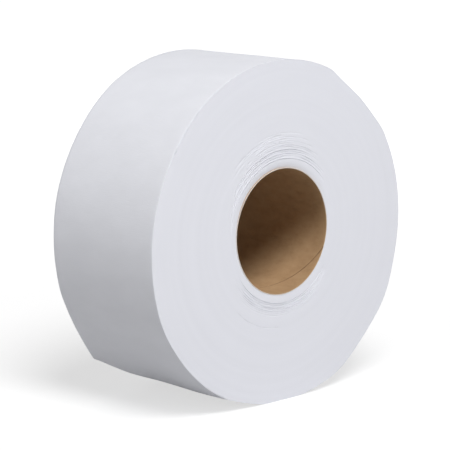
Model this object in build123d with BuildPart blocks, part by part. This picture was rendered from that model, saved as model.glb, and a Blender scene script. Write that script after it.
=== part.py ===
from build123d import *

import os
from math import cos, degrees, pi, radians, sin, sqrt, tan

# A jumbo roll of toilet tissue, lying on its side as it would on a shelf.
#
# The roll is two pieces. The core is a tube wound from two plies of brown card,
# whose inner ply shows its butt joint as a fine helical line. The tissue is one
# long two-ply sheet wound on the core. Its free end is low on the left, where
# the sheet rises out of the roll and ends askew: its edge is nearer to the foot at
# the front, where it almost lies on the roll, and stands well off it at the rear.
# The wound sheet is soft: it has settled a little below the core, is pressed
# flat where it rests, and has a softer flat high on the right. Next to the core
# its turns dip inwards, and above and below the core some turns stand apart,
# which shows in both end faces as long narrow gaps.
#
# The axis of the core runs along Y and its middle is the origin. The front end
# faces -Y, and Z is up.

# Core: the tube of brown card
core_bore = 83.0
core_ply = 0.4
core_plies = 2
core_recess = 0.3
seam_angle = 26.5
seam_gap = 0.8
seam_start_angle = -22.5

# Wound tissue: the roll as a whole
roll_diameter = 228.6
sheet_width = 96.5
sheet_thickness = 0.3
settling = 1.4
rim_softening = 0.6

# Places where the soft roll is pressed flat: width, direction and blending radius
foot_width = 39.0
foot_direction = -90.0
foot_blend = 30.0
shoulder_width = 50.0
shoulder_direction = 47.0
shoulder_blend = 80.0

# Turns that dip next to the core, in both end faces
core_dip = 0.8
core_dip_width = 4.8
core_dip_steps = 3

# Wide gaps between turns, measured outwards from the core's wall
wide_gap = 0.5
wide_gap_depth = 0.7
wide_gap_start = 5.5
wide_gap_pitch = 2.95
wide_gaps_above = 3
wide_gaps_below = 1

# Narrow gaps between the turns that follow
narrow_gap = 0.3
narrow_gap_depth = 0.3
narrow_gap_start_above = 12.9
narrow_gap_start_below = 9.0
narrow_gap_pitch = 1.3
narrow_gaps_above = 5
narrow_gaps_below = 4

# How far the gaps reach around the core, and the width that they taper to
gaps_above_direction = 102.0
gaps_above_sweep = 150.0
gaps_below_direction = -96.0
gaps_below_sweep = 110.0
gap_tip = 0.1

# Free end of the sheet: where it starts to rise, how far it runs, and how far its edge stands off
tail_root_angle = -152.0
tail_root_depth = 0.9
tail_length_front = 77.0
tail_length_rear = 42.0
tail_lift_front = 0.9
tail_lift_rear = 5.4

# How far a cutting shape runs past the surface that it cuts
overshoot = 2.0

core_wall = core_ply * core_plies
core_outer_radius = core_bore / 2 + core_wall
core_length = sheet_width - 2 * core_recess
roll_radius = roll_diameter / 2
roll_centre = Vector(0, -settling)
end_face = sheet_width / 2
tail_side = end_face - rim_softening


def towards(angle):
    """The unit vector at an angle in degrees, in the plane of the roll's section."""
    return Vector(cos(radians(angle)), sin(radians(angle)))


def press_flat(width, angle, blend):
    """Flatten the section of the roll along a chord, and blend the flat into the round."""
    chord_distance = sqrt(roll_radius**2 - (width / 2) ** 2)
    cut_depth = roll_radius - chord_distance + overshoot
    chord_middle = roll_centre + towards(angle) * chord_distance
    with Locations(Location((chord_middle.X, chord_middle.Y, 0), (0, 0, angle))):
        Rectangle(cut_depth, width + 2 * overshoot, align=(Align.MIN, Align.CENTER), mode=Mode.SUBTRACT)
    fillet(vertices(Select.LAST), blend)


def tail_section(length, lift):
    """The free end of the sheet in section, rising out of the roll until its edge stands off by lift."""
    sweep = length / roll_radius
    tip_angle = tail_root_angle + degrees(sweep)
    root = roll_centre + towards(tail_root_angle) * (roll_radius - tail_root_depth)
    bend = root + towards(tail_root_angle + 90) * (roll_radius * tan(sweep / 2))
    tip = roll_centre + towards(tip_angle) * (roll_radius + lift)
    inward = towards((tail_root_angle + tip_angle) / 2) * -sheet_thickness
    with BuildSketch() as section:
        with BuildLine():
            Bezier(root, bend, tip)
            Line(tip, tip + inward)
            Bezier(tip + inward, bend + inward, root + inward)
            Line(root + inward, root)
        make_face()
    return section.sketch


def turn_gap(distance, opening, middle_angle, sweep):
    """One gap between two turns: widest in the middle, and tapering to a fine tip at both ends."""
    radius = core_outer_radius + distance
    first = towards(middle_angle - sweep / 2)
    middle = towards(middle_angle)
    last = towards(middle_angle + sweep / 2)
    with BuildSketch() as section:
        with BuildLine():
            ThreePointArc(first * radius, middle * radius, last * radius)
            Line(last * radius, last * (radius + gap_tip))
            ThreePointArc(last * (radius + gap_tip), middle * (radius + opening), first * (radius + gap_tip))
            Line(first * (radius + gap_tip), first * radius)
        make_face()
    return section.sketch


# Core tube
seam_pitch = pi * core_bore * tan(radians(seam_angle))
seam_run = core_length + 2 * overshoot
seam_first = towards(seam_start_angle + 360 * overshoot / seam_pitch)

with BuildPart() as core_tube:
    with BuildSketch(Plane.XZ.offset(-core_length / 2)):
        Circle(core_outer_radius)
        Circle(core_bore / 2, mode=Mode.SUBTRACT)
    extrude(amount=core_length)

    # Butt joint of the inner ply: one long helical gap, as deep as that ply
    seam_plane = Plane((0, -seam_run / 2, 0), x_dir=(seam_first.X, 0, seam_first.Y), z_dir=(0, 1, 0))
    seam_line = seam_plane.location * Helix(seam_pitch, seam_run, core_bore / 2, mode=Mode.PRIVATE)
    with BuildSketch(Plane(seam_line @ 0, x_dir=seam_plane.x_dir, z_dir=seam_line % 0)):
        Rectangle(2 * core_ply, seam_gap)
    sweep(path=seam_line, is_frenet=True, mode=Mode.SUBTRACT)

core_tube.part.label = "core_tube"


# Tissue roll
with BuildPart() as tissue_roll:
    # Wound sheet, with its two flats, and with the rims of the cut edges softened
    with BuildSketch(Plane.XZ.offset(-end_face)):
        with Locations(roll_centre):
            Circle(roll_radius)
        press_flat(foot_width, foot_direction, foot_blend)
        press_flat(shoulder_width, shoulder_direction, shoulder_blend)
    extrude(amount=sheet_width)
    chamfer(tissue_roll.faces().filter_by(Axis.Y).edges(), rim_softening)

    # Free end of the sheet, which runs further at the front and stands off more at the rear
    with BuildSketch(Plane.XZ.offset(tail_side)):
        add(tail_section(tail_length_front, tail_lift_front))
    with BuildSketch(Plane.XZ.offset(-tail_side)):
        add(tail_section(tail_length_rear, tail_lift_rear))
    loft(ruled=True)

    # Hole that the core fills
    with BuildSketch(Plane.XZ.offset(-end_face)):
        Circle(core_outer_radius)
    extrude(amount=sheet_width, mode=Mode.SUBTRACT)

    # Turns next to the core, which dip more and more towards it in both end faces
    dip_points = [
        (core_outer_radius + core_dip_width * (1 - share), end_face - core_dip * share**2)
        for share in [step / core_dip_steps for step in range(core_dip_steps + 1)]
    ]
    inside_core = core_outer_radius - overshoot
    with BuildSketch(Plane.XY):
        with BuildLine():
            Polyline(*dip_points, (inside_core, end_face - core_dip), (inside_core, end_face), close=True)
        make_face()
        mirror(about=Plane.XZ)
    revolve(axis=Axis.Y, mode=Mode.SUBTRACT)

    # Gaps between the turns above and below the core, in both end faces
    for front_to_rear in (1, -1):
        end_plane = Plane.XZ.offset(front_to_rear * end_face)
        with BuildSketch(end_plane):
            for turn in range(wide_gaps_above):
                distance = wide_gap_start + turn * wide_gap_pitch
                add(turn_gap(distance, wide_gap, gaps_above_direction, gaps_above_sweep))
            for turn in range(wide_gaps_below):
                distance = wide_gap_start + turn * wide_gap_pitch
                add(turn_gap(distance, wide_gap, gaps_below_direction, gaps_below_sweep))
        extrude(amount=-front_to_rear * wide_gap_depth, mode=Mode.SUBTRACT)
        with BuildSketch(end_plane):
            for turn in range(narrow_gaps_above):
                distance = narrow_gap_start_above + turn * narrow_gap_pitch
                add(turn_gap(distance, narrow_gap, gaps_above_direction, gaps_above_sweep))
            for turn in range(narrow_gaps_below):
                distance = narrow_gap_start_below + turn * narrow_gap_pitch
                add(turn_gap(distance, narrow_gap, gaps_below_direction, gaps_below_sweep))
        extrude(amount=-front_to_rear * narrow_gap_depth, mode=Mode.SUBTRACT)

tissue_roll.part.label = "tissue_roll"

os.makedirs("parts", exist_ok=True)
export_step(core_tube.part, "parts/core_tube.step")
export_step(tissue_roll.part, "parts/tissue_roll.step")
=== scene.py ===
from math import cos, degrees, exp, log, pi, radians, sin, sqrt, tan

import bmesh
import bpy
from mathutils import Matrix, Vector, noise


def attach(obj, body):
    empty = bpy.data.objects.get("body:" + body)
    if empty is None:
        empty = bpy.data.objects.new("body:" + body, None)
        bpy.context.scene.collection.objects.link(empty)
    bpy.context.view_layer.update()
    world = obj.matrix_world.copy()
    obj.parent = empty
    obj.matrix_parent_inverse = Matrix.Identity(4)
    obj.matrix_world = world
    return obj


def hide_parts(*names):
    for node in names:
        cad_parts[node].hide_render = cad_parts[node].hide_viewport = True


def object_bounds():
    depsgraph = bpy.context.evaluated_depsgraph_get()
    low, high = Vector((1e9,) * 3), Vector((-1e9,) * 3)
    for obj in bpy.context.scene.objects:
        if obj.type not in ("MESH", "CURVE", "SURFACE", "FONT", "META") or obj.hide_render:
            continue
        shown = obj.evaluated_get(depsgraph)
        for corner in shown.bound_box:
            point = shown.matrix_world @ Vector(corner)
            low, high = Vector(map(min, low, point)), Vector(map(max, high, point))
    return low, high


# A jumbo roll of toilet tissue on its curved side: a soft white sheet wound on a brown card core.
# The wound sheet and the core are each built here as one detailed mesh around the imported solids.
# Lengths are in millimetres until a mesh is made. Angles are in degrees in the plane of the
# roll's section, from +X towards +Z. The seen end faces -Y.

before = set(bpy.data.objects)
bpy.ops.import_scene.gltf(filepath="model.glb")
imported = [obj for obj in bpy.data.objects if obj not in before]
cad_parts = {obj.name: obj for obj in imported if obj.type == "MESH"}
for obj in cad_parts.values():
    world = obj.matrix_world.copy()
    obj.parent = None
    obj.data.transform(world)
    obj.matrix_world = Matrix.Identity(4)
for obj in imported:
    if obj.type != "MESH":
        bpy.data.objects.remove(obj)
cad_low, cad_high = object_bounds()

MM = 0.001

# Core: the tube of brown card
CORE_BORE_RADIUS = 41.7
CORE_OUTER_RADIUS = 42.3
CORE_PLY = 0.3
CORE_HALF_LENGTH = 48.25
CORE_ROUNDING = 0.1
BORE_EDGE_WIDTH = 0.05
OUTER_EDGE_WIDTH = 0.07
PLY_LINE_HALF_WIDTH = 0.05
PLY_LINE_DEPTH = 0.12

# Joint of the core's inner ply: its helix, its full width and depth, its cross-section in half widths
# and shares of the depth, where the plain wall starts in half widths, and how its opening changes
# along the core. Near both ends it stands open, and deeper it almost closes.
SEAM_ANGLE = 26.5
SEAM_START_ANGLE = -21.7
SEAM_WIDTH = 0.38
SEAM_DEPTH = 0.27
SEAM_PROFILE = [(-1.35, 0.0), (-0.8, 0.8), (0.0, 1.0), (0.8, 0.8), (1.35, 0.0)]
SEAM_CLEARANCE = 2.0
SEAM_OPEN_DEEP = 0.25
SEAM_OPEN_MORE_AT_ENDS = 0.55
SEAM_GAPE_DEPTH = 19.0
SEAM_UNEVEN = 0.35
SEAM_UNEVEN_LENGTH = 3.5
SEAM_SEED = 3.0

# Wound tissue: the roll as a whole
ROLL_RADIUS = 114.3
ROLL_DROP = 1.4
HALF_WIDTH = 48.25
SHEET_THICKNESS = 0.3
RIM_SOFTENING = 0.1
RIM_OUT_SHARE = 0.7
RIM_IN_SHARE = 0.3
HOLE_ROWS = (30.0, 0.0, -30.0)

# Flats pressed into the soft roll: direction, width and how softly each blends into the round. None
# reaches further than FLAT_REACH degrees from its direction.
FOOT = (-90.0, 39.0, 0.3)
SHOULDER_HIGH = (53.3, 51.8, 0.25)
SHOULDER_LOW = (44.5, 48.8, 0.40)
FLAT_REACH = 60.0

# Unevenness of the outside: wavelength and height of the slow part and of the fine part, and how many
# degrees from the foot it fades in
UNEVEN_SLOW = (21.0, 0.22)
UNEVEN_FINE = (7.0, 0.07)
UNEVEN_FINE_SHIFT = Vector((50.0, 0.0, 0.0))
FOOT_CALM = 14.0

# Slow swellings and hollows of the outside: direction, half width in degrees, height
SWELLINGS = [
    (-157.0, 13.0, 1.2),
    (-62.0, 9.0, 1.6),
    (-30.0, 10.0, 1.7),
    (27.0, 7.0, -0.2),
    (122.0, 15.0, 0.5),
    (153.0, 14.0, -0.5),
    (-104.0, 8.0, -0.9),
]

# Free end of the sheet: where it leaves the roll, and where its edge is and how far it stands off,
# at the front and at the rear. The sheet ends askew, and its last few millimetres curl back in. It
# rises by a power of the share of its length, and is a little wavy across.
TAIL_ROOT_ANGLE = -157.0
TAIL_FRONT = (-113.0, 0.5)
TAIL_REAR = (-130.5, 7.0)
TAIL_LIFT_POWER_ACROSS = 1.2
TAIL_RISE_POWER = 1.9
TAIL_CURL_START = 0.9
TAIL_CURL = 0.4
TAIL_WAVE = 0.12
TAIL_WAVE_RADIANS = 11.0

# Slit inside the last turn at the rim, open in places: how far inside the rim it lies, its
# cross-section, how its depth grows with the noise that opens it, the noise below which it stays
# closed, where it may open, and the fineness and seed of that noise
EDGE_TURN = 0.5
EDGE_PROFILE = [(-0.24, 0.0), (-0.19, 1.0), (0.19, 1.0), (0.24, 0.0)]
EDGE_RAGGED = 5.5
EDGE_CLOSED = 0.05
EDGE_OPEN = (140.5, 26.0)
EDGE_FINENESS = 34.0
EDGE_SEED = 8.6

# Unevenness of the end faces: wavelength and height, the radius where it starts, the width over which
# it grows, and its seed. The faces lie a little inside the full width, so that it stays within it.
FACE_UNEVEN = (26.0, 0.06)
FACE_UNEVEN_START = 50.0
FACE_UNEVEN_GROWTH = 20.0
FACE_SEED = 90.0
FACE_INSET = 0.06

# Turns next to the core, which dip towards it, most of all above it
DIP_RINGS = (0.0, 0.05, 0.12, 0.22, 0.35, 0.5, 0.68, 0.86)
DIP_WIDTH = 4.8
DIP_DEPTH_LEAST = 0.15
DIP_DEPTH_MOST = 0.8
DIP_DIRECTION = 85.0
DIP_SWEEP = 190.0

# Lines between turns in the end faces: radius above and below the core, depth above and below it, the
# share of that depth by which the next turn stands proud, and where above the core the line runs, as
# the direction of its middle and its sweep
LINES = [
    (48.0, 48.0, 0.75, 0.55, 0.22, 108.0, 146.0),
    (49.6, 49.5, 0.40, 0.32, 0.00, 105.0, 130.0),
    (51.3, 51.1, 0.70, 0.42, 0.08, 105.0, 130.0),
    (52.6, 52.4, 0.28, 0.34, 0.00, 106.0, 100.0),
    (53.9, 53.5, 0.80, 0.30, 0.04, 104.0, 104.0),
    (55.4, 54.7, 0.12, 0.12, 0.00, 96.0, 80.0),
    (56.7, 56.1, 0.38, 0.04, 0.00, 93.0, 80.0),
    (57.9, 57.3, 0.09, 0.00, 0.00, 105.0, 74.0),
    (59.4, 58.8, 0.24, 0.00, 0.00, 94.0, 68.0),
    (60.6, 60.0, 0.09, 0.00, 0.00, 110.0, 68.0),
    (62.1, 61.4, 0.20, 0.00, 0.00, 97.0, 62.0),
    (63.5, 62.7, 0.08, 0.00, 0.00, 112.0, 50.0),
    (65.0, 64.4, 0.16, 0.20, 0.00, 95.0, 46.0),
]
# Where the lines run below the core. The last one is short and lies further to the left.
LINES_BELOW = (-92.0, 122.0)
LAST_LINE_BELOW = (-112.0, 44.0)
LINE_HALF_WIDTH = 0.12
LINE_SLOPE = 0.12
PROUD_WIDTH = 0.35
PROUD_SLOPE = 0.35
# The lines wander a little, change in strength along their length and are broken up on the left
LINE_WANDER = 0.25
LINE_WANDER_FINENESS = 2.2
LINE_SEED_STEP = 5.3
LINE_STRENGTH = 0.85
LINE_STRENGTH_LEAST = 0.15
LINE_STRENGTH_MOST = 1.2
LINE_CHANGE = 1.1
LINE_CHANGE_FINENESS = 1.7
LINE_BREAKS = 1.8
LINE_BREAKS_FINENESS = 6.0
# The turns next to the core are wound this far off centre, towards +X
OFF_CENTRE = 1.0

# Fineness of the meshes. The first column stands a share of a step after the root of the free end,
# and the first of the outer rings a short way outside the last line.
COLUMNS = 360
FIRST_COLUMN = 0.3
TREAD_ROWS = 48
TAIL_COLUMNS = 26
TAIL_CURL_COLUMNS = 10
OUTER_RINGS = 16
FIRST_OUTER_RING = 0.3
CORE_COLUMNS = 180
CORE_ROWS = 60

# Edges that turn by more than this are sharp
TISSUE_SHARP_ANGLE = 30.0
CARD_SHARP_ANGLE = 40.0


def towards(angle):
    """Unit vector at an angle in the plane of the roll's section."""
    return Vector((cos(radians(angle)), 0.0, sin(radians(angle))))


def angle_between(a, b):
    """Difference of two angles, from -180 to 180."""
    return (a - b + 180.0) % 360.0 - 180.0


def soft_minimum(a, b, softness):
    """The lower of two lengths, with a rounded change from one to the other."""
    low = min(a, b)
    return low - softness * log(exp((low - a) / softness) + exp((low - b) / softness))


def fade(angle, middle, sweep):
    """1 in the middle of a sweep, falling smoothly to 0 at both of its ends."""
    share = angle_between(angle, middle) / (sweep / 2)
    return max(0.0, 1.0 - share**4) ** 2


def outline_radius(angle, offset=0.0):
    """Radius of the roll about the core's axis: a settled round with its swellings and flats."""
    drop = ROLL_DROP * sin(radians(angle))
    radius = sqrt(ROLL_RADIUS**2 - (ROLL_DROP * cos(radians(angle))) ** 2) - drop + offset
    for middle, half, height in SWELLINGS:
        share = angle_between(angle, middle) / half
        radius += height * exp(-share * share)
    for direction, width, softness in (FOOT, SHOULDER_HIGH, SHOULDER_LOW):
        turned = angle_between(angle, direction)
        if abs(turned) < FLAT_REACH:
            chord = sqrt(ROLL_RADIUS**2 - (width / 2) ** 2) - ROLL_DROP * sin(radians(direction))
            radius = soft_minimum(radius, chord / cos(radians(turned)), softness)
    return radius


def undulation(point, wavelength, height):
    """Unevenness of the soft surface at a point."""
    return height * noise.noise(point / wavelength)


def tail_place(share, y):
    """Angle and lift of the free end at a share of its length from where it leaves the roll."""
    across = (y + HALF_WIDTH) / (2 * HALF_WIDTH)
    edge_angle = TAIL_FRONT[0] + (TAIL_REAR[0] - TAIL_FRONT[0]) * across
    edge_lift = TAIL_FRONT[1] + (TAIL_REAR[1] - TAIL_FRONT[1]) * across**TAIL_LIFT_POWER_ACROSS
    wave = TAIL_WAVE * edge_lift * share**3 * sin(across * TAIL_WAVE_RADIANS)
    curled = max(0.0, share - TAIL_CURL_START) / (1.0 - TAIL_CURL_START)
    lift = edge_lift * (share**TAIL_RISE_POWER - TAIL_CURL * curled**2) + wave
    return TAIL_ROOT_ANGLE + (edge_angle - TAIL_ROOT_ANGLE) * share, lift


def tread_point(angle, y, offset):
    """A point on the outside of the roll, moved outwards by offset."""
    point = towards(angle) * outline_radius(angle, offset) + Vector((0.0, y, 0.0))
    at_foot = exp(-((angle_between(angle, FOOT[0]) / FOOT_CALM) ** 2))
    uneven = undulation(point, *UNEVEN_SLOW) + undulation(point + UNEVEN_FINE_SHIFT, *UNEVEN_FINE)
    return point + towards(angle) * (uneven * (1.0 - at_foot))


def ring_list():
    """Rings of an end face up to the last line.

    Each has its radius and depth above the core and below it, where its line runs above the core and
    below it, and the number of the line.
    """
    rings = []
    for share in DIP_RINGS:
        radius = CORE_OUTER_RADIUS + DIP_WIDTH * share
        rings.append((radius, radius, 0.0, 0.0, None, None, None))
    for number, (above, below, depth_above, depth_below, proud, middle, sweep) in enumerate(LINES):
        edge = LINE_HALF_WIDTH + LINE_SLOPE
        place_below = LAST_LINE_BELOW if number == len(LINES) - 1 else LINES_BELOW
        profile = [(-edge, 0.0), (-LINE_HALF_WIDTH, 1.0), (LINE_HALF_WIDTH, 1.0), (edge, -proud)]
        if proud > 0.0:
            profile += [(edge + PROUD_WIDTH, -proud), (edge + PROUD_WIDTH + PROUD_SLOPE, 0.0)]
        for offset, share in profile:
            depths = (depth_above * share, depth_below * share)
            rings.append((above + offset, below + offset, *depths, (middle, sweep), place_below, number))
    return rings


def end_face_column(angle, side):
    """Points of one column of an end face, from the hole to just inside the rim's rounding."""
    dip_share = fade(angle, DIP_DIRECTION, DIP_SWEEP)
    dip_depth = DIP_DEPTH_LEAST + (DIP_DEPTH_MOST - DIP_DEPTH_LEAST) * dip_share
    height = (1.0 + sin(radians(angle))) / 2
    points = []
    radius = CORE_OUTER_RADIUS
    for ring in ring_rows:
        radius_above, radius_below, depth_above, depth_below, place_above, place_below, number = ring
        radius = radius_below + (radius_above - radius_below) * height
        radius += OFF_CENTRE * cos(radians(angle)) * min(1.0, (radius - CORE_OUTER_RADIUS) / DIP_WIDTH)
        strength = 1.0
        line_depth = 0.0
        if number is not None:
            along = towards(angle) * LINE_WANDER_FINENESS + Vector((0.0, LINE_SEED_STEP * number, 0.0))
            radius += LINE_WANDER * noise.noise(along)
            leftwards = max(0.0, -cos(radians(angle)))
            broken = LINE_BREAKS * leftwards * noise.noise(along * LINE_BREAKS_FINENESS)
            strength = LINE_STRENGTH + LINE_CHANGE * noise.noise(along * LINE_CHANGE_FINENESS) + broken
            strength = min(LINE_STRENGTH_MOST, max(LINE_STRENGTH_LEAST, strength))
            line_depth = depth_above * fade(angle, *place_above)
            line_depth += depth_below * fade(angle, *place_below)
        into_dip = max(0.0, CORE_OUTER_RADIUS + DIP_WIDTH - radius) / DIP_WIDTH
        points.append((radius, dip_depth * into_dip**2 + line_depth * strength))
    rim = outline_radius(angle) - RIM_SOFTENING
    inner = radius + FIRST_OUTER_RING
    for step in range(OUTER_RINGS + 1):
        points.append((inner + (rim - inner) * step / OUTER_RINGS, 0.0))
    along = towards(angle) * EDGE_FINENESS + Vector((0.0, EDGE_SEED * side, 0.0))
    ragged = EDGE_RAGGED * (noise.noise(along) - EDGE_CLOSED)
    ragged = max(0.0, ragged) * fade(angle, *EDGE_OPEN)
    for offset, share in EDGE_PROFILE:
        points.insert(-1, (rim - EDGE_TURN + offset, ragged * share))
    column = []
    for radius, depth in points:
        place = towards(angle) * radius
        spread = min(1.0, max(0.0, (radius - FACE_UNEVEN_START) / FACE_UNEVEN_GROWTH))
        uneven = undulation(place + Vector((0.0, FACE_SEED * side, 0.0)), *FACE_UNEVEN) * spread
        column.append(place + Vector((0.0, side * (HALF_WIDTH - depth + uneven - FACE_INSET), 0.0)))
    return column


def body_column(angle, offset):
    """One closed column round the roll: front face, rim, outside, rim, rear face and hole."""
    front = end_face_column(angle, -1.0)
    rear = end_face_column(angle, 1.0)
    tread = [tread_point(angle, y, offset) for y in tread_rows]
    rim_out = Vector((0.0, RIM_OUT_SHARE * RIM_SOFTENING, 0.0))
    rim_in = towards(angle) * (RIM_IN_SHARE * RIM_SOFTENING)
    front_rim = [tread[0] - rim_out - rim_in]
    rear_rim = [tread[-1] + rim_out - rim_in]
    hole = [towards(angle) * CORE_OUTER_RADIUS + Vector((0.0, y, 0.0)) for y in HOLE_ROWS]
    return front + front_rim + tread + rear_rim + rear[::-1] + hole


def mesh_object(name, points, faces):
    """A mesh object from points in millimetres, with its normals outwards."""
    mesh = bpy.data.meshes.new(name)
    mesh.from_pydata([point * MM for point in points], [], faces)
    made = bmesh.new()
    made.from_mesh(mesh)
    bmesh.ops.recalc_face_normals(made, faces=made.faces)
    made.to_mesh(mesh)
    made.free()
    mesh.polygons.foreach_set("use_smooth", [True] * len(mesh.polygons))
    obj = bpy.data.objects.new(name, mesh)
    bpy.context.scene.collection.objects.link(obj)
    return obj


# Wound tissue: one closed mesh. Its outside is the last turn, which runs on past a full turn as the
# free end.
ring_rows = ring_list()
tread_rows = [
    -(HALF_WIDTH - RIM_SOFTENING) + 2 * (HALF_WIDTH - RIM_SOFTENING) * row / (TREAD_ROWS - 1)
    for row in range(TREAD_ROWS)
]

points = []
faces = []
for column in range(COLUMNS):
    turn_share = (column + FIRST_COLUMN) / (COLUMNS - 1 + FIRST_COLUMN)
    angle = TAIL_ROOT_ANGLE + 360.0 * turn_share
    points += body_column(angle, -SHEET_THICKNESS * (1.0 - turn_share))
column_length = len(points) // COLUMNS
rings_per_face = len(ring_rows) + 1 + OUTER_RINGS + len(EDGE_PROFILE)
tread_start = rings_per_face + 1
tread_stop = tread_start + TREAD_ROWS


def body_index(column, row):
    """Number of a point of the roll's body. After the last column and row come the first again."""
    return (column % COLUMNS) * column_length + row % column_length


for column in range(COLUMNS):
    for row in range(column_length):
        on_tread = tread_start <= row < tread_stop - 1
        if column == COLUMNS - 1 and on_tread:
            continue
        faces.append((
            body_index(column, row),
            body_index(column + 1, row),
            body_index(column + 1, row + 1),
            body_index(column, row + 1),
        ))

# Free end: the outer side of the sheet runs on from the last column, and its inner side comes back to
# the first
outer_columns = [[body_index(COLUMNS - 1, row) for row in range(tread_start, tread_stop)]]
inner_columns = [[body_index(0, row) for row in range(tread_start, tread_stop)]]
tail_shares = [TAIL_CURL_START * (step + 1) / TAIL_COLUMNS for step in range(TAIL_COLUMNS)]
tail_shares += [
    TAIL_CURL_START + (1 - TAIL_CURL_START) * (step + 1) / TAIL_CURL_COLUMNS
    for step in range(TAIL_CURL_COLUMNS)
]
for share in tail_shares:
    for columns, offset in ((outer_columns, 0.0), (inner_columns, -SHEET_THICKNESS)):
        columns.append(list(range(len(points), len(points) + TREAD_ROWS)))
        for y in tread_rows:
            angle, lift = tail_place(share, y)
            points.append(tread_point(angle, y, lift + offset))
for column in range(len(tail_shares)):
    outer, outer_next = outer_columns[column], outer_columns[column + 1]
    inner, inner_next = inner_columns[column], inner_columns[column + 1]
    for row in range(TREAD_ROWS - 1):
        faces.append((outer[row], outer_next[row], outer_next[row + 1], outer[row + 1]))
        faces.append((inner[row], inner[row + 1], inner_next[row + 1], inner_next[row]))
    for row in (0, -1):
        faces.append((outer[row], outer_next[row], inner_next[row], inner[row]))
for row in range(TREAD_ROWS - 1):
    outer, inner = outer_columns[-1], inner_columns[-1]
    faces.append((outer[row], inner[row], inner[row + 1], outer[row + 1]))

tissue = mesh_object("wound_tissue", points, faces)
tissue.data.set_sharp_from_angle(angle=radians(TISSUE_SHARP_ANGLE))
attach(tissue, "root")
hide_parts("tissue_roll")


# Core tube: one closed mesh whose columns follow the helical joint of the inner ply
seam_pitch = 2 * pi * CORE_BORE_RADIUS * tan(radians(SEAM_ANGLE))
seam_half = degrees(SEAM_WIDTH / 2 / CORE_BORE_RADIUS) / cos(radians(90.0 - SEAM_ANGLE))
seam_columns = [(turned * seam_half, depth) for turned, depth in SEAM_PROFILE]
plain_start = SEAM_CLEARANCE * seam_half
plain_columns = [
    (plain_start + (360.0 - 2 * plain_start) * step / CORE_COLUMNS, 0.0)
    for step in range(CORE_COLUMNS + 1)
]
core_columns = seam_columns + plain_columns


def joint_opening(y):
    """How far the joint stands open at a place along the core, as a share of its full opening."""
    from_end = (CORE_HALF_LENGTH - abs(y)) / SEAM_GAPE_DEPTH
    uneven = SEAM_UNEVEN * noise.noise(Vector((0.0, y / SEAM_UNEVEN_LENGTH, SEAM_SEED)))
    return SEAM_OPEN_DEEP + SEAM_OPEN_MORE_AT_ENDS * exp(-from_end**4) + uneven


def core_ring(radius, y, seam_share):
    """One ring of the core at a place along its axis. The joint turns with y."""
    start = SEAM_START_ANGLE - 360.0 * (y + CORE_HALF_LENGTH) / seam_pitch
    opening = joint_opening(y)
    ring = []
    for column, (turned, depth) in enumerate(core_columns):
        if column < len(seam_columns):
            turned *= opening
        place = towards(start + turned) * (radius + SEAM_DEPTH * depth * opening * seam_share)
        ring.append(place + Vector((0.0, y, 0.0)))
    return ring


# Cut end of the core from the bore to the outside, with the line between the two plies: radius, how far
# inside the end, and whether the joint shows there
ply_line = CORE_BORE_RADIUS + CORE_PLY
core_end_profile = [
    (CORE_BORE_RADIUS + BORE_EDGE_WIDTH, 0.0, 1.0),
    (ply_line - PLY_LINE_HALF_WIDTH, 0.0, 0.0),
    (ply_line, PLY_LINE_DEPTH, 0.0),
    (ply_line + PLY_LINE_HALF_WIDTH, 0.0, 0.0),
    (CORE_OUTER_RADIUS - OUTER_EDGE_WIDTH, 0.0, 0.0),
    (CORE_OUTER_RADIUS, CORE_ROUNDING, 0.0),
]
wall_half_length = CORE_HALF_LENGTH - CORE_ROUNDING
core_rings = []
for row in range(CORE_ROWS):
    y = -wall_half_length + 2 * wall_half_length * row / (CORE_ROWS - 1)
    core_rings.append(core_ring(CORE_BORE_RADIUS, y, 1.0))
for radius, inset, seam_share in core_end_profile:
    core_rings.append(core_ring(radius, CORE_HALF_LENGTH - inset, seam_share))
for row in range(1, CORE_ROWS - 1):
    y = wall_half_length - 2 * wall_half_length * row / (CORE_ROWS - 1)
    core_rings.append(core_ring(CORE_OUTER_RADIUS, y, 0.0))
for radius, inset, seam_share in reversed(core_end_profile):
    core_rings.append(core_ring(radius, inset - CORE_HALF_LENGTH, seam_share))

points = []
faces = []
for ring in core_rings:
    points += ring
ring_length = len(core_columns)
for row in range(len(core_rings)):
    next_row = (row + 1) % len(core_rings)
    for column in range(ring_length):
        next_column = (column + 1) % ring_length
        faces.append((
            row * ring_length + column,
            row * ring_length + next_column,
            next_row * ring_length + next_column,
            next_row * ring_length + column,
        ))
core = mesh_object("card_core", points, faces)
core.data.set_sharp_from_angle(angle=radians(CARD_SHARP_ANGLE))
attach(core, "root")
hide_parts("core_tube")


def linear(red, green, blue):
    """A colour as the shaders take it, from its values on the screen, 0 to 255."""
    def one(value):
        value = value / 255.0
        return value / 12.92 if value <= 0.04045 else ((value + 0.055) / 1.055) ** 2.4
    return (one(red), one(green), one(blue), 1.0)


def new_material(name, roughness, specular):
    """A matt material with its node tree, its links and its Principled shader."""
    material = bpy.data.materials.new(name)
    material.use_nodes = True
    tree = material.node_tree
    shader = tree.nodes["Principled BSDF"]
    shader.inputs["Roughness"].default_value = roughness
    shader.inputs["Specular IOR Level"].default_value = specular
    return material, tree.nodes, tree.links, shader


def stretched_coordinates(nodes, links, scale):
    """Object coordinates scaled along each axis, so that a texture can be long one way."""
    coordinates = nodes.new("ShaderNodeTexCoord")
    mapping = nodes.new("ShaderNodeMapping")
    mapping.inputs["Scale"].default_value = scale
    links.new(coordinates.outputs["Object"], mapping.inputs["Vector"])
    return mapping.outputs["Vector"]


def noise_texture(nodes, links, vector, scale, detail, roughness):
    """Height of a noise at the places that a vector gives."""
    texture = nodes.new("ShaderNodeTexNoise")
    texture.inputs["Scale"].default_value = scale
    texture.inputs["Detail"].default_value = detail
    texture.inputs["Roughness"].default_value = roughness
    links.new(vector, texture.inputs["Vector"])
    return texture.outputs["Fac"]


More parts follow.
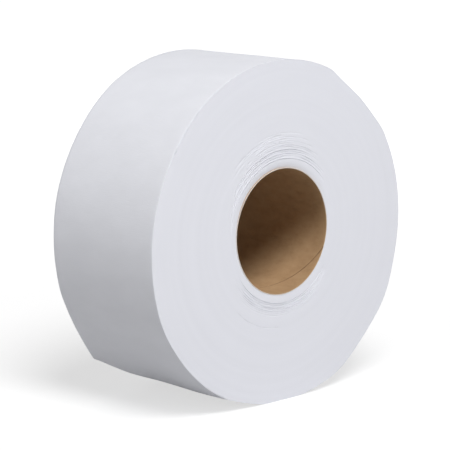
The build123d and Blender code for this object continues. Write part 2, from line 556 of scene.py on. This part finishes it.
def stretched_noise(nodes, links, stretch, scale, detail, roughness):
    """Height of a noise on the object, scaled along each axis."""
    vector = stretched_coordinates(nodes, links, stretch)
    return noise_texture(nodes, links, vector, scale, detail, roughness)


def ramp(nodes, links, value, stops):
    """A colour ramp from (position, colour) stops."""
    node = nodes.new("ShaderNodeValToRGB")
    elements = node.color_ramp.elements
    while len(elements) < len(stops):
        elements.new(0.5)
    for element, (position, colour) in zip(elements, stops):
        element.position = position
        element.color = colour
    links.new(value, node.inputs["Fac"])
    return node.outputs["Color"]


def bump(nodes, links, height, distance, strength, normal=None):
    """A normal bumped by a height, on top of another bump where one is given."""
    node = nodes.new("ShaderNodeBump")
    node.inputs["Distance"].default_value = distance
    node.inputs["Strength"].default_value = strength
    links.new(height, node.inputs["Height"])
    if normal is not None:
        links.new(normal, node.inputs["Normal"])
    return node.outputs["Normal"]


# Colours, each from dark to light with its place on the ramp
SHEET_COLOURS = [(0.3, linear(233, 234, 240)), (0.7, linear(237, 238, 244))]
EDGES_COLOURS = [(0.3, linear(235, 236, 243)), (0.7, linear(237, 238, 245))]
CARD_COLOURS = [
    (0.28, linear(168, 136, 102)),
    (0.5, linear(178, 146, 111)),
    (0.74, linear(185, 154, 119)),
]
CUT_CARD_COLOURS = [(0.3, linear(234, 228, 220)), (0.7, linear(242, 238, 233))]
# The joint's dark browns are partly its glue and the outer ply below, and partly painted shade in its
# narrow groove.
JOINT_GLUE_AND_SHADE_COLOURS = [(0.3, linear(74, 54, 36)), (0.7, linear(112, 86, 60))]

# Noises: how they are scaled along each axis, scale, detail and roughness
EVEN = (1.0, 1.0, 1.0)
SHEET_CREPE = ((1.0, 0.12, 1.0), 1400.0, 3.0, 0.6)
SHEET_FIBRES = (EVEN, 700.0, 5.0, 0.65)
SHEET_MOTTLE = ((1.0, 0.5, 1.0), 60.0, 4.0, 0.55)
CARD_MOTTLE = ((1.0, 0.6, 1.0), 180.0, 6.0, 0.65)
CARD_FIBRES = ((1.0, 0.3, 1.0), 900.0, 5.0, 0.7)
CUT_CARD_FIBRES = (EVEN, 1200.0, 4.0, 0.6)
JOINT_FIBRES = (EVEN, 500.0, 4.0, 0.6)

# Noises of the cut edges of the turns: scale, detail and roughness. The rings about the core change
# with the distance from the core's axis, and only slowly round it.
EDGES_TURNS = (1500.0, 4.0, 0.6)
EDGES_BANDS = (260.0, 3.0, 0.5)
EDGES_NAP = (900.0, 4.0, 0.6)
EDGES_SLOW = 0.02

# Bumps: distance in metres and strength
SHEET_CREPE_BUMP = (0.00012, 0.5)
SHEET_FIBRES_BUMP = (0.0001, 0.25)
EDGES_TURNS_BUMP = (0.00008, 0.15)
EDGES_NAP_BUMP = (0.0001, 0.25)
CARD_BUMP = (0.0001, 0.3)
CUT_CARD_BUMP = (0.0001, 0.4)


def tissue_side_material():
    """Soft creped sheet: fine ridges along the roll's axis over a slow mottle."""
    material, nodes, links, shader = new_material("tissue_sheet", roughness=0.95, specular=0.15)
    crepe = stretched_noise(nodes, links, *SHEET_CREPE)
    fibres = stretched_noise(nodes, links, *SHEET_FIBRES)
    mottle = stretched_noise(nodes, links, *SHEET_MOTTLE)
    links.new(ramp(nodes, links, mottle, SHEET_COLOURS), shader.inputs["Base Color"])
    normal = bump(nodes, links, crepe, *SHEET_CREPE_BUMP)
    normal = bump(nodes, links, fibres, *SHEET_FIBRES_BUMP, normal)
    links.new(normal, shader.inputs["Normal"])
    return material


def tissue_end_material():
    """Cut edges of the wound turns: fine rings about the core, with a fibrous nap."""
    material, nodes, links, shader = new_material("tissue_edges", roughness=0.97, specular=0.1)
    coordinates = nodes.new("ShaderNodeTexCoord")
    flat = nodes.new("ShaderNodeVectorMath")
    flat.operation = "MULTIPLY"
    flat.inputs[1].default_value = (1.0, 0.0, 1.0)
    links.new(coordinates.outputs["Object"], flat.inputs[0])
    length = nodes.new("ShaderNodeVectorMath")
    length.operation = "LENGTH"
    links.new(flat.outputs["Vector"], length.inputs[0])
    slow = nodes.new("ShaderNodeVectorMath")
    slow.operation = "MULTIPLY"
    slow.inputs[1].default_value = (EDGES_SLOW, 0.0, EDGES_SLOW)
    links.new(coordinates.outputs["Object"], slow.inputs[0])
    joined = nodes.new("ShaderNodeCombineXYZ")
    links.new(length.outputs["Value"], joined.inputs["Y"])
    place = nodes.new("ShaderNodeVectorMath")
    place.operation = "ADD"
    links.new(slow.outputs["Vector"], place.inputs[0])
    links.new(joined.outputs["Vector"], place.inputs[1])
    turns = noise_texture(nodes, links, place.outputs["Vector"], *EDGES_TURNS)
    bands = noise_texture(nodes, links, place.outputs["Vector"], *EDGES_BANDS)
    nap = noise_texture(nodes, links, coordinates.outputs["Object"], *EDGES_NAP)
    links.new(ramp(nodes, links, bands, EDGES_COLOURS), shader.inputs["Base Color"])
    normal = bump(nodes, links, turns, *EDGES_TURNS_BUMP)
    normal = bump(nodes, links, nap, *EDGES_NAP_BUMP, normal)
    links.new(normal, shader.inputs["Normal"])
    return material


def card_material():
    """Bare brown card: mottled fibres with darker flecks."""
    material, nodes, links, shader = new_material("core_card", roughness=0.95, specular=0.05)
    mottle = stretched_noise(nodes, links, *CARD_MOTTLE)
    fibres = stretched_noise(nodes, links, *CARD_FIBRES)
    links.new(ramp(nodes, links, mottle, CARD_COLOURS), shader.inputs["Base Color"])
    links.new(bump(nodes, links, fibres, *CARD_BUMP), shader.inputs["Normal"])
    return material


def cut_edge_material():
    """Cut ends of the two plies: paler than their faces, with fine fibres and the tissue's lint."""
    material, nodes, links, shader = new_material("card_cut_edge", roughness=0.9, specular=0.1)
    fibres = stretched_noise(nodes, links, *CUT_CARD_FIBRES)
    links.new(ramp(nodes, links, fibres, CUT_CARD_COLOURS), shader.inputs["Base Color"])
    links.new(bump(nodes, links, fibres, *CUT_CARD_BUMP), shader.inputs["Normal"])
    return material


def joint_material():
    """The bottom and the cut sides of the joint between two edges of the inner ply. Its dark brown is
    partly glue and the outer ply below, and partly painted shade in the narrow groove.
    """
    material, nodes, links, shader = new_material("card_joint", roughness=0.9, specular=0.1)
    fibres = stretched_noise(nodes, links, *JOINT_FIBRES)
    links.new(ramp(nodes, links, fibres, JOINT_GLUE_AND_SHADE_COLOURS), shader.inputs["Base Color"])
    return material


# The first material of each mesh is that of its sides. Faces turned to the ends take another.
END_FACING = 0.5
END_FACE_REACH = 3.0
EDGES_NUMBER = 1
JOINT_NUMBER = 1
CUT_CARD_NUMBER = 2
tissue.data.materials.append(tissue_side_material())
tissue.data.materials.append(tissue_end_material())
for polygon in tissue.data.polygons:
    at_end = abs(polygon.center.y) > (HALF_WIDTH - END_FACE_REACH) * MM
    if at_end and abs(polygon.normal.y) > END_FACING:
        polygon.material_index = EDGES_NUMBER
core.data.materials.append(card_material())
core.data.materials.append(joint_material())
core.data.materials.append(cut_edge_material())
# Faces in the joint's groove take its dark card, which is partly painted shade. Faces turned to the ends
# take the pale cut card.
for polygon in core.data.polygons:
    ring, column = divmod(polygon.index, ring_length)
    if ring < CORE_ROWS - 1 and column < len(seam_columns) - 1:
        polygon.material_index = JOINT_NUMBER
    elif abs(polygon.normal.y) > END_FACING:
        polygon.material_index = CUT_CARD_NUMBER


# Floor: plain and pale. It takes the roll's shadow, and what the camera sees of it is lifted to white.
WHITE_RAYS = ("Is Camera Ray", "Is Glossy Ray", "Is Transmission Ray")


def seen_by_eye(nodes, links):
    """1 for rays that show the background directly, in gloss or through glass, and 0 for light rays."""
    path = nodes.new("ShaderNodeLightPath")
    total = path.outputs[WHITE_RAYS[0]]
    for name in WHITE_RAYS[1:]:
        larger = nodes.new("ShaderNodeMath")
        larger.operation = "MAXIMUM"
        links.new(total, larger.inputs[0])
        links.new(path.outputs[name], larger.inputs[1])
        total = larger.outputs["Value"]
    return total


# Size of the floor in metres, its grey, and its glow near the roll and far off: distance and strength
FLOOR_SIZE = 12.0
FLOOR_GREY = 0.43
GLOW_NEAR = (0.1, 0.62)
GLOW_FAR = (1.8, 1.0)
half_floor = FLOOR_SIZE / 2
floor_corners = [(-half_floor, -half_floor), (half_floor, -half_floor)]
floor_corners += [(half_floor, half_floor), (-half_floor, half_floor)]
floor_mesh = bpy.data.meshes.new("floor")
floor_mesh.from_pydata([(x, y, cad_low.z) for x, y in floor_corners], [], [(0, 1, 2, 3)])
floor = bpy.data.objects.new("floor", floor_mesh)
bpy.context.scene.collection.objects.link(floor)

floor_material = bpy.data.materials.new("pale_floor")
floor_material.use_nodes = True
nodes, links = floor_material.node_tree.nodes, floor_material.node_tree.links
nodes.clear()
diffuse = nodes.new("ShaderNodeBsdfDiffuse")
diffuse.inputs["Color"].default_value = (FLOOR_GREY, FLOOR_GREY, FLOOR_GREY, 1.0)
glow = nodes.new("ShaderNodeEmission")
glow.inputs["Color"].default_value = (1.0, 1.0, 1.0, 1.0)
place = nodes.new("ShaderNodeTexCoord")
distance = nodes.new("ShaderNodeVectorMath")
distance.operation = "LENGTH"
links.new(place.outputs["Object"], distance.inputs[0])
lift = nodes.new("ShaderNodeMapRange")
lift.inputs["From Min"].default_value = GLOW_NEAR[0]
lift.inputs["From Max"].default_value = GLOW_FAR[0]
lift.inputs["To Min"].default_value = GLOW_NEAR[1]
lift.inputs["To Max"].default_value = GLOW_FAR[1]
links.new(distance.outputs["Value"], lift.inputs["Value"])
glow_share = nodes.new("ShaderNodeMath")
glow_share.operation = "MULTIPLY"
links.new(lift.outputs["Result"], glow_share.inputs[1])
links.new(seen_by_eye(nodes, links), glow_share.inputs[0])
links.new(glow_share.outputs["Value"], glow.inputs["Strength"])
both = nodes.new("ShaderNodeAddShader")
links.new(diffuse.outputs["BSDF"], both.inputs[0])
links.new(glow.outputs["Emission"], both.inputs[1])
output = nodes.new("ShaderNodeOutputMaterial")
links.new(both.outputs["Shader"], output.inputs["Surface"])
floor.data.materials.append(floor_material)

# World: white where it is seen, and a soft grey light elsewhere
AMBIENT = 0.024
world = bpy.data.worlds.new("studio")
bpy.context.scene.world = world
world.use_nodes = True
nodes, links = world.node_tree.nodes, world.node_tree.links
nodes.clear()
ambient = nodes.new("ShaderNodeBackground")
ambient.inputs["Color"].default_value = (1.0, 1.0, 1.0, 1.0)
ambient.inputs["Strength"].default_value = AMBIENT
white = nodes.new("ShaderNodeBackground")
white.inputs["Color"].default_value = (1.0, 1.0, 1.0, 1.0)
white.inputs["Strength"].default_value = 1.0
mix = nodes.new("ShaderNodeMixShader")
links.new(seen_by_eye(nodes, links), mix.inputs["Fac"])
links.new(ambient.outputs["Background"], mix.inputs[1])
links.new(white.outputs["Background"], mix.inputs[2])
output = nodes.new("ShaderNodeOutputWorld")
links.new(mix.outputs["Shader"], output.inputs["Surface"])

# Lamps: a soft key high in front on the left, and low fills in front, on the left and behind on the
# right. At level 1 and any distance, white paper that faces a lamp renders white.
LAMP_LEVEL = pi * pi


def lamp(name, direction, distance, size, level):
    """A round soft lamp in a direction from the roll, at a distance in metres, shining on its middle."""
    data = bpy.data.lights.new(name, "AREA")
    data.shape = "DISK"
    data.size = size
    data.energy = level * LAMP_LEVEL * distance**2
    obj = bpy.data.objects.new(name, data)
    bpy.context.scene.collection.objects.link(obj)
    obj.location = direction.normalized() * distance
    obj.rotation_mode = "QUATERNION"
    obj.rotation_quaternion = direction.to_track_quat("Z", "Y")
    obj.visible_camera = False


lamp("key", Vector((-0.22, -0.52, 0.86)), 3.4, 1.7, 0.926)
lamp("front_fill", Vector((0.00, -1.00, 0.10)), 2.0, 1.2, 0.254)
lamp("left_fill", Vector((-1.00, 0.00, 0.08)), 2.0, 0.7, 0.225)
lamp("rear_fill", Vector((1.00, 0.80, 0.30)), 2.0, 1.0, 0.24)

# Camera: the photograph's viewing angle. Its place is in metres, and it looks away from CAMERA_BACK.
CAMERA_PLACE = Vector((-0.9192, -0.9561, 0.2390))
CAMERA_BACK = Vector((-0.6795, -0.7115, 0.1788))
CAMERA_LENS = 160.4
CAMERA_SENSOR = 36.0
camera_data = bpy.data.cameras.new("camera")
camera_data.sensor_width = CAMERA_SENSOR
camera_data.lens = CAMERA_LENS
camera_data.clip_start = 0.05
camera_data.clip_end = 50.0
camera = bpy.data.objects.new("camera", camera_data)
bpy.context.scene.collection.objects.link(camera)
camera.location = CAMERA_PLACE
camera.rotation_mode = "QUATERNION"
camera.rotation_quaternion = CAMERA_BACK.to_track_quat("Z", "Y")
bpy.context.scene.camera = camera

bpy.context.scene.view_settings.view_transform = "Standard"
